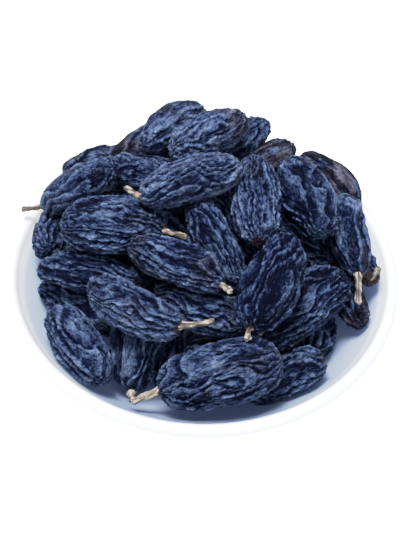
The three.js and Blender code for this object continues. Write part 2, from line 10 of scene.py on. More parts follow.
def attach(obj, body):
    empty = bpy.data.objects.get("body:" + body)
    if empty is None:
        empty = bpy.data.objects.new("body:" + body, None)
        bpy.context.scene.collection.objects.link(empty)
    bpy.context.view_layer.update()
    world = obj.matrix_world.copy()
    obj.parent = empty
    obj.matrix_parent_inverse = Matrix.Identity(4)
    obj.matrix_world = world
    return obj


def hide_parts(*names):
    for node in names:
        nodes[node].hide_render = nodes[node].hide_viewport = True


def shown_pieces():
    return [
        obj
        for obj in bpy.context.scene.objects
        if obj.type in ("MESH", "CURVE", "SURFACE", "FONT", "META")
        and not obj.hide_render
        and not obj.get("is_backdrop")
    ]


mm = 0.001

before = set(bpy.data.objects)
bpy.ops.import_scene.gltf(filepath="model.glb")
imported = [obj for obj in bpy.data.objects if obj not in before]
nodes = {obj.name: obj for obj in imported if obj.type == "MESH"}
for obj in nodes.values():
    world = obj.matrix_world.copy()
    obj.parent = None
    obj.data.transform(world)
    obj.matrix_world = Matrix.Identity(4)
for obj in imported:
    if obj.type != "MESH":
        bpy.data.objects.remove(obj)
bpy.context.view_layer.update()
print("frame loaded,", len(nodes), "nodes")


# Camera, at the photo's height over the table

camera = {
    "elevation": 49.51,
    "roll": 2.51,
    "distance": 212.3 * mm,
    "aside": 0.11 * mm,  # of the point looked at, from the middle of the bowl's mouth
    "upwards": -2.46 * mm,
    "mouthHeight": 35 * mm,
    "fieldOfView": 36,
    "sensorWidth": 36,
    "clipStart": 0.01,
    "clipEnd": 20,
}


def addCamera():
    c = camera
    tilt = math.radians(c["elevation"])
    back = Vector((0, -math.cos(tilt), math.sin(tilt)))
    right = Vector((1, 0, 0))
    up = back.cross(right)
    target = Vector((0, 0, c["mouthHeight"])) + right * c["aside"] + up * c["upwards"]
    roll = math.radians(c["roll"])
    side = right * math.cos(roll) + up * math.sin(roll)
    top = up * math.cos(roll) - right * math.sin(roll)
    data = bpy.data.cameras.new("camera")
    data.sensor_width = c["sensorWidth"]
    data.lens = data.sensor_width / 2 / math.tan(math.radians(c["fieldOfView"]) / 2)
    data.clip_start = c["clipStart"]
    data.clip_end = c["clipEnd"]
    eye = bpy.data.objects.new("camera", data)
    turn = Matrix((side, top, back)).transposed().to_4x4()
    eye.matrix_world = Matrix.Translation(target + back * c["distance"]) @ turn
    bpy.context.scene.collection.objects.link(eye)
    bpy.context.scene.camera = eye


# Noise, worked out for many points at once

def latticeValue(cells, seed):  # a value from -1 to 1 for each cell, mixed from its place and the seed
    x, y, z = (cells[:, axis].astype(np.int64) for axis in range(3))
    mixed = (x * 73856093) ^ (y * 19349663) ^ (z * 83492791) ^ (seed * 2654435761)
    mixed = (mixed ^ (mixed >> 13)) * 1274126177 & 0x7FFFFFFF
    mixed = (mixed ^ (mixed >> 16)) * 668265263 & 0x7FFFFFFF
    return mixed / 0x3FFFFFFF - 1


def smoothNoise(points, seed):  # from -1 to 1, one cell to a unit
    low = np.floor(points)
    part = points - low
    part = part * part * part * (part * (part * 6 - 15) + 10)  # eased, so that cells join smoothly
    total = np.zeros(len(points))
    for corner in range(8):
        step = np.array([corner & 1, corner >> 1 & 1, corner >> 2 & 1])
        weight = np.prod(np.where(step, part, 1 - part), axis=1)
        total += weight * latticeValue(low + step, seed)
    return total


def warp(points, size, amount, seed):  # shifts points about by smooth noise, another on each axis
    shift = [smoothNoise(points / size + 17.3 * axis, seed + axis) for axis in range(3)]
    return points + amount * np.stack(shift, axis=1)


def smoothStep(low, high, value):
    share = np.clip((value - low) / (high - low), 0, 1)  # low may be the greater of the two
    return share * share * (3 - 2 * share)


# Mesh helpers

joining = {
    "sameCorner": 0.005 * mm,  # corners of the CAD's loose triangles closer than this are one
    "noLength": 0.002 * mm,  # edges shorter than this go
}


def mergedCopy(node):  # a CAD node's mesh with its loose triangles joined up
    bm = bmesh.new()
    bm.from_mesh(nodes[node].data)
    bmesh.ops.remove_doubles(bm, verts=bm.verts, dist=joining["sameCorner"])
    bmesh.ops.dissolve_degenerate(bm, dist=joining["noLength"], edges=bm.edges)
    bm.normal_update()
    return bm


def meshPiece(name, bm):
    mesh = bpy.data.meshes.new(name)
    bm.to_mesh(mesh)
    bm.free()
    piece = bpy.data.objects.new(name, mesh)
    bpy.context.scene.collection.objects.link(piece)
    return piece


def subdivided(bm, rounds):  # rounds of smooth subdivision, as an applied modifier
    piece = meshPiece("draft", bm)
    modifier = piece.modifiers.new("smooth", "SUBSURF")
    modifier.levels = modifier.render_levels = rounds
    bpy.context.view_layer.update()
    result = bmesh.new()
    result.from_mesh(piece.evaluated_get(bpy.context.evaluated_depsgraph_get()).to_mesh())
    bpy.data.meshes.remove(piece.data)
    result.normal_update()
    return result


def pointsOf(mesh):
    points = np.zeros(len(mesh.vertices) * 3, np.float32)
    mesh.vertices.foreach_get("co", points)
    return points.reshape(-1, 3).astype(float)


def normalsOf(mesh):
    normals = np.zeros(len(mesh.vertices) * 3, np.float32)
    mesh.vertex_normals.foreach_get("vector", normals)
    return normals.reshape(-1, 3).astype(float)


def setPoints(mesh, points):
    mesh.vertices.foreach_set("co", points.astype(np.float32).ravel())
    mesh.update()


def setValues(mesh, name, values):  # a number or a vector on each point, for the materials to read
    kind, field = ("FLOAT_VECTOR", "vector") if values.ndim > 1 else ("FLOAT", "value")
    attribute = mesh.attributes.new(name, kind, "POINT")
    attribute.data.foreach_set(field, values.astype(np.float32).ravel())


def smoothShaded(mesh):
    for polygon in mesh.polygons:
        polygon.use_smooth = True


# Bowl, glazed porcelain

bowl = {
    "rimRadius": 50 * mm,
    "lipRadius": 1.6 * mm,
    "height": 35 * mm,
    "hollowDepth": 28 * mm,
    "floorThickness": 4 * mm,
    "footRadius": 24 * mm,
    "footInnerRadius": 20 * mm,
    "footRound": 0.6 * mm,
    "sides": 144,
    "stepsUnder": 8,  # of the profile inside the foot, then outside it, over the lip and in the hollow
    "stepsOutside": 24,
    "stepsLip": 14,
    "stepsInside": 30,
    "seam": 0.01 * mm,
    "wallTurn": (0.02, 0.3),  # how far a face turns inwards before it counts as the inside wall
    "floorTurn": (0.5, 0.9),  # and upwards, before it counts as the floor of the hollow
    "paintedShadeStart": 0.05,  # of the painted shade's depth
    "paintedShadeDepth": 13 * mm,  # from the lip down to where the painted shade is at its darkest and bluest
}


def capProfile(edge, depth, first, last, steps):  # points of a spherical cap, from the lip down
    b = bowl
    radius = (edge * edge + depth * depth) / (2 * depth)
    centre = b["height"] - b["lipRadius"] - depth + radius
    turns = np.linspace(math.asin(first / radius), math.asin(last / radius), steps)
    return [(radius * math.sin(turn), centre - radius * math.cos(turn)) for turn in turns]


def bowlProfile():
    b = bowl
    outsideDepth = b["hollowDepth"] + b["floorThickness"] - b["lipRadius"]
    hollowEdge = b["rimRadius"] - 2 * b["lipRadius"]
    lipMiddle = b["rimRadius"] - b["lipRadius"]
    profile = capProfile(b["rimRadius"], outsideDepth, 0, b["footInnerRadius"], b["stepsUnder"])
    for radius, way in ((b["footInnerRadius"], 1), (b["footRadius"], -1)):
        turns = np.radians((180, 210, 240, 270) if way == 1 else (270, 300, 330, 360))
        for turn in turns:
            across = radius + way * b["footRound"] + b["footRound"] * math.cos(turn)
            profile.append((across, b["footRound"] * (1 + math.sin(turn))))
    profile += capProfile(b["rimRadius"], outsideDepth, b["footRadius"], b["rimRadius"], b["stepsOutside"])
    for turn in np.linspace(0, math.pi, b["stepsLip"])[1:-1]:
        across = lipMiddle + b["lipRadius"] * math.cos(turn)
        profile.append((across, b["height"] - b["lipRadius"] + b["lipRadius"] * math.sin(turn)))
    insideDepth = b["hollowDepth"] - b["lipRadius"]
    profile += capProfile(hollowEdge, insideDepth, hollowEdge, 0, b["stepsInside"])
    return profile


def paintedShadeOf(mesh):  # painted shade: from 0 on the lip and the outside to 1 deep inside
    b = bowl
    points, normals = pointsOf(mesh), normalsOf(mesh)
    inwards = -np.sum(points[:, :2] * normals[:, :2], axis=1) / b["rimRadius"]
    wall = smoothStep(*b["wallTurn"], inwards)
    low = points[:, 2] < b["height"] / 2
    inside = np.maximum(wall, smoothStep(*b["floorTurn"], normals[:, 2]) * low)
    below = (b["height"] - points[:, 2]) / b["paintedShadeDepth"]
    return inside * smoothStep(b["paintedShadeStart"], 1, below)


def makeBowl():
    bm = bmesh.new()
    verts = [bm.verts.new((across, 0, up)) for across, up in bowlProfile()]
    edges = [bm.edges.new(pair) for pair in zip(verts, verts[1:])]
    bmesh.ops.spin(
        bm, geom=verts + edges, cent=(0, 0, 0), axis=(0, 0, 1), dvec=(0, 0, 0),
        angle=2 * math.pi, steps=bowl["sides"], use_merge=True,
    )
    bmesh.ops.remove_doubles(bm, verts=bm.verts, dist=bowl["seam"])
    bmesh.ops.recalc_face_normals(bm, faces=bm.faces)
    for face in bm.faces:
        face.smooth = True
    piece = meshPiece("porcelainBowl", bm)
    # painted shade: how far down the hollow each point lies, for the glaze to darken
    setValues(piece.data, "paintedShade", paintedShadeOf(piece.data))
    piece.data.materials.append(porcelain())
    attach(piece, "root")
    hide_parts("bowl")


# Raisins. Lengths here are in millimetres, in each raisin's own frame with x along it.

# A style gives the heights of its folds, terraces, ridges and crinkles, then their size, how far they
# are drawn out lengthwise, how many terraces there are all round, and how much these bend.
styles = {
    "wrinkled": {
        "folds": 0.7, "terrace": 0.7, "ridge": 0.5, "crinkle": 0.28, "size": 2.6, "stretch": 3.6,
        "terraces": 13, "swirl": 1.1,
    },
    "chunky": {
        "folds": 1.2, "terrace": 0.85, "ridge": 0.55, "crinkle": 0.3, "size": 3.6, "stretch": 2.2,
        "terraces": 9, "swirl": 1.0,
    },
    "smooth": {
        "folds": 0.9, "terrace": 0.45, "ridge": 0.3, "crinkle": 0.14, "size": 4.2, "stretch": 2.6,
        "terraces": 6, "swirl": 0.7,
    },
}

wrinkles = {  # what the styles share
    "bends": ((7, 1.5, 0), (2.6, 0.5, 5), (0.9, 0.14, 8)),  # size, amount, and what the seed grows by
    "terraceRise": 1.5,
    "terraceEdge": 0.86,  # where the drop begins, of a terrace's width
    "terraceMean": 0.5,
    "ridgeEdge": 1.8,
    "ridgeMean": 0.3,
    "ridgeSize": 0.6,  # of the style's size, as are those of the crinkles
    "ridgeSharpness": 2.6,
    "crinkleSize": 0.32,
    "crinkleSharpness": 2.4,
    "crinkleSqueeze": (1.6, 1, 1),
    "coarseShare": 0.65,
    "fineShare": 0.35,
    "fineScale": 2.1,
    "foldSize": (9, 4.6, 4.6),
    "foldShare": 0.8,
    "calmEnds": 0.5,  # how much of the relief is lost at the ends
    "endsFrom": 0.85,  # of half the length
    "crest": {"terraces": 0.6, "ridges": 0.36, "crinkles": 0.22, "folds": 0.1},  # how the relief sets the skin's colour: bloom on the crests, with painted shade low in the valleys and painted highlight on the crests
}

chunkyRaisins = (
    "front_left_wall", "front_stubby", "left_edge", "back_curled", "left_long", "right_upper",
    "back_left", "left_low", "right_low_edge",
)
smoothRaisins = (
    "back_right", "back_dark", "right_big", "crown_back_left", "crown_left", "back_left_outer",
)
purpleRaisins = {
    "back_right": 1.0, "back_left": 0.5, "back_dark": 0.8, "crown_back_left": 0.7,
    "crown_right": 0.35, "middle_left": 0.3, "right_low": 0.2, "right_wall": 0.8,
    "right_low_edge": 0.4, "upright": 0.25,
}

shades = {  # how much lighter or darker each raisin's skin is than the others, added to its crest value
    "middle_big": -0.16, "right_ridged": -0.1, "left_flat": -0.06, "right_low": -0.06,
    "right_low_edge": -0.1, "back_dark": -0.08, "back_left": -0.03, "right_upper": -0.06,
    "crown_left": 0.1, "crown_right": 0.1, "top": 0.07, "upright": 0.04, "left_long": 0.08,
    "crown_back_left": 0.05, "right_big": 0.05, "front_stubby": 0.1, "front_left": 0.05,
    "front_left_wall": 0.04, "upper_left": 0.03, "middle_left": 0.02, "front_big": 0.02,
}
scarsInView = ("upright", "upper_left", "left_flat")  # of raisins that have lost the stalk

raisins = {
    "stalkThickness": 3.9,  # thinner than this is stalk
    "squeeze": 0.6,  # of the length, while the skin is remeshed, so that faces lie lengthwise
    "voxelInView": 0.25,
    "voxelBehind": 0.42,
    "voxelStuck": 0.65,
    "swell": 0.45,  # makes up for what smoothing takes off, and presses neighbours together
    "outmost": 0.7,
    "scarRadius": 1.7,  # of the brown scar where the stalk is or was
    "scarCore": 0.6,  # of that radius, inside which the scar is brown all over
    "scarDepth": 0.5,
    "scarRagged": 0.5,
    "scarRaggedSize": 0.8,
    "endFrom": 0.97,  # of the length, where the end begins
    "purpleSize": (6, 4, 4),
    "purpleEdge": (-0.15, 0.45),
    "purpleGrowth": 1.3,
    "purpleStart": 0.55,
    "purpleLeast": 0.35,
    "purpleElsewhere": 0.1,  # of raisins that aren't named above
    "leastStalk": 12,  # more thin faces than this are a stalk
    "rounds": 2,  # of subdivision, before the skin is remeshed
    "roundsStuck": 1,
    "smoothings": 2,  # after it
}
away = (0, 1, -0.4)  # the scar of a raisin without a stalk lies this way, out of the photo's sight
towards = (0, -1, 0.4)  # or this way, if it is to be seen
stuckLook = {"style": "wrinkled", "purple": 0.1, "shade": -0.15}


def stalkFaces(bm):  # faces that have another face close behind them, and what they cut off
    tree = BVHTree.FromBMesh(bm)
    reach = raisins["stalkThickness"] * mm
    thick = set()
    for face in bm.faces:
        start = face.calc_center_median() - face.normal * 0.02 * mm
        hit = tree.ray_cast(start, -face.normal, reach)
        if hit[0] is None:
            thick.add(face)
    body = max(facePatches(thick), key=len)
    return [face for face in bm.faces if face not in body]


def facePatches(faces):
    left = set(faces)
    patches = []
    while left:
        patch = {left.pop()}
        border = list(patch)
        while border:
            face = border.pop()
            near = {other for edge in face.edges for other in edge.link_faces}
            found = near & left
            left -= found
            patch |= found
            border += found
        patches.append(patch)
    return patches


def lengthwiseFrame(points, ahead=away):  # middle and axes, x along to the end that lies ahead
    middle = points.mean(axis=0)
    axes = np.linalg.eigh(np.cov((points - middle).T))[1]
    along, across = axes[:, 2], axes[:, 1]
    if along @ np.array(ahead) < 0:
        along = -along
    return middle, np.stack((along, across, np.cross(along, across)))


def remesh(piece, voxel):  # even faces all over, then smoothed
    modifier = piece.modifiers.new("even", "REMESH")
    modifier.mode = "VOXEL"
    modifier.voxel_size = voxel
    bpy.context.view_layer.update()
    shape = piece.evaluated_get(bpy.context.evaluated_depsgraph_get())
    bm = bmesh.new()
    bm.from_mesh(shape.to_mesh())
    piece.modifiers.clear()
    for _ in range(raisins["smoothings"]):
        bmesh.ops.smooth_vert(
            bm, verts=bm.verts, factor=0.5, use_axis_x=True, use_axis_y=True, use_axis_z=True,
        )
    bm.to_mesh(piece.data)
    bm.free()


def ridged(points, sharpness, seed):  # narrow crests where the noise crosses nought, in two sizes
    w = wrinkles
    coarse = np.minimum(np.abs(smoothNoise(points, seed)) * sharpness, 1)
    fine = np.minimum(np.abs(smoothNoise(points * w["fineScale"] + 5, seed + 1)) * sharpness, 1)
    return (1 - coarse) ** w["ridgeEdge"] * (w["coarseShare"] + w["fineShare"] * (1 - fine))


def terraced(values):  # slow rises with sudden drops, as where skin lies over in layers
    part = values - np.floor(values)
    edge = wrinkles["terraceEdge"]
    return (part ** wrinkles["terraceRise"] - smoothStep(edge, 1, part)) / edge


def wrinkleHeights(points, halfLength, style, seed):
    s = styles[style]
    w = wrinkles
    bent = points
    for size, amount, more in w["bends"]:
        bent = warp(bent, size, amount, seed + more)
    around = np.arctan2(bent[:, 2], bent[:, 1]) / (2 * math.pi)
    bent = bent / (s["stretch"], 1, 1)
    terraces = terraced(s["terraces"] * around + s["swirl"] * smoothNoise(bent / s["size"], seed + 10))
    ridges = ridged(bent / (w["ridgeSize"] * s["size"]), w["ridgeSharpness"], seed + 20)
    squeezed = bent * w["crinkleSqueeze"] / (w["crinkleSize"] * s["size"])
    crinkles = ridged(squeezed, w["crinkleSharpness"], seed + 25)
    folds = smoothNoise(points / w["foldSize"], seed + 30)
    ends = 1 - w["calmEnds"] * smoothStep(w["endsFrom"], 1, np.abs(points[:, 0]) / halfLength)
    relief = s["terrace"] * (terraces - w["terraceMean"]) + s["ridge"] * (ridges - w["ridgeMean"])
    relief += s["crinkle"] * (crinkles - w["ridgeMean"])
    heights = ends * relief + s["folds"] * w["foldShare"] * folds
    # the crest value: real bloom on the crests, also painted shade low in the valleys and painted highlight
    # on the crests
    c = w["crest"]
    crest = c["terraces"] * terraces + c["ridges"] * ridges + c["crinkles"] * crinkles
    crest = crest + c["folds"] * folds
    return np.minimum(heights, raisins["outmost"]), np.clip(crest, 0, 1)


def scarOf(points, seed):  # 1 where the scar at the stalk's end is brown, and how deep it lies
    r = raisins
    end = points[points[:, 0] > r["endFrom"] * points[:, 0].max()].mean(axis=0)
    ragged = r["scarRagged"] * smoothNoise(points / r["scarRaggedSize"], seed)
    fromEnd = np.linalg.norm(points - end, axis=1) + ragged
    scar = smoothStep(r["scarRadius"], r["scarCore"] * r["scarRadius"], fromEnd)
    return scar, r["scarDepth"] * scar * smoothStep(r["scarRadius"], 0, fromEnd)


def purplePatches(points, purple, seed):
    r = raisins
    clouds = smoothNoise(points / r["purpleSize"], seed) + r["purpleGrowth"] * purple - r["purpleStart"]
    patches = smoothStep(*r["purpleEdge"], clouds)
    return np.clip(patches * min(1, r["purpleLeast"] + purple), 0, 1)


def wrinkle(piece, middle, axes, look, seed):
    mesh = piece.data
    points = pointsOf(mesh)
    halfLength = np.abs(points[:, 0]).max()
    heights, crest = wrinkleHeights(points, halfLength, look["style"], seed)
    scar, depth = scarOf(points, seed + 50)
    heights -= depth
    setValues(mesh, "scar", scar)
    setValues(mesh, "lie", points)
    # the crest value sets the skin's colour: bloom, painted shade in the valleys and painted highlight on
    # the crests
    setValues(mesh, "crest", crest + look["shade"])
    setValues(mesh, "purple", purplePatches(points, look["purple"], seed + 40))
    points += normalsOf(mesh) * (heights + raisins["swell"])[:, None]
    setPoints(mesh, (points @ axes + middle) * mm)
    smoothShaded(mesh)


def skinPiece(name, bm, voxel, look, ahead, seed):
    piece = meshPiece(name, bm)
    mesh = piece.data
    points = pointsOf(mesh) / mm
    middle, axes = lengthwiseFrame(points, ahead)
    squeeze = np.array((raisins["squeeze"], 1, 1))
    setPoints(mesh, (points - middle) @ axes.T * squeeze)
    remesh(piece, voxel)
    setPoints(piece.data, pointsOf(piece.data) / squeeze)
    wrinkle(piece, middle, axes, look, seed)
    return piece


def makeRaisin(node, number):
    short = node.removeprefix("raisin_")
    behind = short.startswith("back_") and short[-1].isdigit()
    bm = mergedCopy(node)
    stalk = stalkFaces(bm)
    ahead = towards if short in scarsInView else away
    if behind:
        ahead = (1, 0, 0) if number % 2 else (-1, 0, 0)
    if len(stalk) > raisins["leastStalk"]:
        stalkMesh = bm.copy()
        kept = {face.index for face in stalk}
        bmesh.ops.delete(
            stalkMesh, geom=[f for f in stalkMesh.faces if f.index not in kept], context="FACES",
        )
        middle = bodyMiddle(bm)
        ahead = makeStalk(node, stalkMesh, middle, number) - np.array(middle) / mm
        bmesh.ops.delete(bm, geom=stalk, context="FACES")
        bmesh.ops.holes_fill(bm, edges=[e for e in bm.edges if e.is_boundary], sides=0)
    bm = subdivided(bm, raisins["rounds"])
    style = "chunky" if short in chunkyRaisins else "smooth" if short in smoothRaisins else "wrinkled"
    purple = purpleRaisins.get(short, raisins["purpleElsewhere"])
    look = {"style": style, "purple": purple, "shade": shades.get(short, 0)}
    voxel = raisins["voxelBehind"] if behind else raisins["voxelInView"]
    piece = skinPiece("skin_" + short, bm, voxel, look, ahead, 100 * number)
    piece.data.materials.append(skinMaterial)
    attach(piece, "root")
    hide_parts(node)


def bodyMiddle(bm):
    total = Vector()
    for vert in bm.verts:
        total += vert.co
    return total / len(bm.verts)


def makeStuckRaisins(node, number):
    bm = subdivided(mergedCopy(node), raisins["roundsStuck"])
    piece = skinPiece("skin_" + node, bm, raisins["voxelStuck"], stuckLook, away, 100 * number)
    piece.data.materials.append(skinMaterial)
    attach(piece, "root")
    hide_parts(node)


# Stalks, thin dry wood

stalks = {
    "swell": -0.04,  # over the whole stalk, in mm
    "root": 1.4,  # how far the foot goes on into the fruit, in mm
    "rounds": 2,  # of subdivision
    "bark": 0.15,
    "barkSize": (1.6, 0.34, 0.34),
    "knots": 0.22,
    "knotSize": 0.9,
    "pale": {"middle": 0.5, "bark": 0.5, "knots": 0.25},  # how light the wood is, and on what
}


def makeStalk(node, bm, fruitMiddle, number):  # gives back the stalk's middle, in mm
    loose = [v for v in bm.verts if not v.link_faces]
    bmesh.ops.delete(bm, geom=loose, context="VERTS")
    border = [edge for edge in bm.edges if edge.is_boundary]
    rootMiddle = sum((edge.verts[0].co for edge in border), Vector()) / len(border)
    inwards = (fruitMiddle - rootMiddle).normalized()
    ring = bmesh.ops.extrude_edge_only(bm, edges=border)["geom"]
    root = [element for element in ring if isinstance(element, bmesh.types.BMVert)]
    bmesh.ops.translate(bm, verts=root, vec=inwards * stalks["root"] * mm)
    bmesh.ops.holes_fill(bm, edges=[e for e in bm.edges if e.is_boundary], sides=0)
    bmesh.ops.recalc_face_normals(bm, faces=bm.faces)
    piece = meshPiece(node.replace("raisin_", "stalk_"), subdivided(bm, stalks["rounds"]))
    mesh = piece.data
    points = pointsOf(mesh) / mm
    middle, axes = lengthwiseFrame(points)
    local = (points - middle) @ axes.T
    seed = 100 * number + 50
    bark = smoothNoise(local / stalks["barkSize"], seed)
    knots = smoothNoise(local / stalks["knotSize"], seed + 1)
    setValues(mesh, "lie", local)
    pale = stalks["pale"]
    setValues(mesh, "crest", np.clip(pale["middle"] + pale["bark"] * bark + pale["knots"] * knots, 0, 1))
    lift = stalks["swell"] + stalks["bark"] * bark + stalks["knots"] * knots
    points += normalsOf(mesh) * lift[:, None]
    setPoints(mesh, points * mm)
    smoothShaded(mesh)
    mesh.materials.append(stalkMaterial)
    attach(piece, "root")
    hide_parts(node)
    return points.mean(axis=0)


# Materials: the tools for them, then glaze, skin and wood. Their patterns are in millimetres on the
# attribute "lie" of skins and stalks, and in metres on the bowl.

def nodeTools(name):
    material = bpy.data.materials.new(name)
    material.use_nodes = True
    tree = material.node_tree
    shader = tree.nodes["Principled BSDF"]

    def add(kind, **settings):
        made = tree.nodes.new(kind)
        for key, value in settings.items():
            if key in made.inputs:
                made.inputs[key].default_value = value
            else:
                setattr(made, key, value)
        return made

    def link(start, end):
        tree.links.new(start, end)

    return material, shader, add, link


def ramp(add, stops):  # colours by place, from 0 to 1
    made = add("ShaderNodeValToRGB")
    elements = made.color_ramp.elements
    while len(elements) < len(stops):
        elements.new(0.5)
    for element, (place, color) in zip(elements, stops):
        element.position = place
        element.color = (*color, 1)
    return made


glaze = {
    "cloudScale": 30,
    "cloudDetail": 2,
    "tint": [(0.3, (0.86, 0.88, 0.93)), (0.7, (0.89, 0.905, 0.95))],
    "inside": [(0, (1, 1, 1)), (0.22, (0.4, 0.48, 0.63)), (0.8, (0.3, 0.355, 0.46))],  # painted shade: deeper in the hollow is darker and bluer
    "pullScale": 90,  # slight waves in the glaze
    "pullDetail": 1,
    "pullStrength": 0.05,
    "pullHeight": 0.4 * mm,
    "roughness": 0.12,
    "milky": 0.25,
    "milkyRadius": (1, 1, 1.1),
    "milkyDepth": 10 * mm,
    "coat": 0.4,
    "coatRoughness": 0.05,
}


def porcelain():
    material, shader, add, link = nodeTools("glazedPorcelain")
    g = glaze
    where = add("ShaderNodeTexCoord")
    cloud = add("ShaderNodeTexNoise", Scale=g["cloudScale"], Detail=g["cloudDetail"])
    link(where.outputs["Object"], cloud.inputs["Vector"])
    tint = ramp(add, g["tint"])
    link(cloud.outputs["Fac"], tint.inputs["Fac"])
    # painted shade, darker and bluer deeper in the hollow, multiplied into the glaze colour
    paintedShade = add("ShaderNodeAttribute", attribute_name="paintedShade")
    inside = ramp(add, g["inside"])
    link(paintedShade.outputs["Fac"], inside.inputs["Fac"])
    shaded = add("ShaderNodeMix", data_type="RGBA", blend_type="MULTIPLY")
    shaded.inputs["Factor"].default_value = 1
    link(tint.outputs["Color"], shaded.inputs["A"])
    link(inside.outputs["Color"], shaded.inputs["B"])
    link(shaded.outputs["Result"], shader.inputs["Base Color"])
    pull = add("ShaderNodeTexNoise", Scale=g["pullScale"], Detail=g["pullDetail"])
    link(where.outputs["Object"], pull.inputs["Vector"])
    bump = add("ShaderNodeBump", Strength=g["pullStrength"], Distance=g["pullHeight"])
    link(pull.outputs["Fac"], bump.inputs["Height"])
    link(bump.outputs["Normal"], shader.inputs["Normal"])
    shader.inputs["Roughness"].default_value = g["roughness"]
    shader.inputs["Subsurface Weight"].default_value = g["milky"]
    shader.inputs["Subsurface Radius"].default_value = g["milkyRadius"]
    shader.inputs["Subsurface Scale"].default_value = g["milkyDepth"]
    shader.inputs["Coat Weight"].default_value = g["coat"]
    shader.inputs["Coat Roughness"].default_value = g["coatRoughness"]
    return material


skinLook = {
    "lengthwise": (0.4, 1, 1),  # draws crinkles and creases out along the raisin
    "crinkles": {
        "Scale": 1.1, "Detail": 5, "Roughness": 0.62, "Offset": 0.85, "Gain": 1.6, "Distortion": 0.6,
    },
    "grains": {"Scale": 3.5, "Detail": 5, "Roughness": 0.7},
    "clouds": {"Scale": 0.3, "Detail": 4, "Roughness": 0.6},
    "sway": {"Scale": 0.8, "Detail": 3, "Roughness": 0.6},
    "swayAmount": (1.6, 1.6, 1.6),
    "netScale": 1,
    "creaseWidth": 0.17,
    "bloomAndPaintedLight": {"crest": 0.54, "crinkles": 0.14, "grains": 0.28, "clouds": 0.2, "creases": 0.12},
    "blue": [  # from bare skin and painted shade in the valleys and creases to thick bloom and painted highlight on the crests
        (0.44, (0.0005, 0.001, 0.007)), (0.55, (0.0055, 0.0095, 0.03)),
        (0.65, (0.026, 0.0395, 0.087)), (0.77, (0.057, 0.083, 0.148)), (0.93, (0.1, 0.132, 0.208)),
    ],
    "brown": [
        (0.44, (0.0015, 0.0012, 0.0035)), (0.55, (0.006, 0.0052, 0.012)),
        (0.65, (0.018, 0.0165, 0.03)), (0.77, (0.042, 0.04, 0.062)), (0.93, (0.09, 0.09, 0.125)),
    ],
    "scar": [(0.35, (0.018, 0.011, 0.01)), (0.65, (0.085, 0.056, 0.045))],
    "cloudRange": (0.3, 0.7),
    "roughness": (0.48, 0.75),
    "bumps": {"crinkles": (1, 0.4 * mm), "creases": (0.9, 0.3 * mm), "grains": (0.7, 0.25 * mm)},
    "ior": 1.3,
    "gloss": 0.12,
    "glossTint": (0.6, 0.75, 1, 1),
}


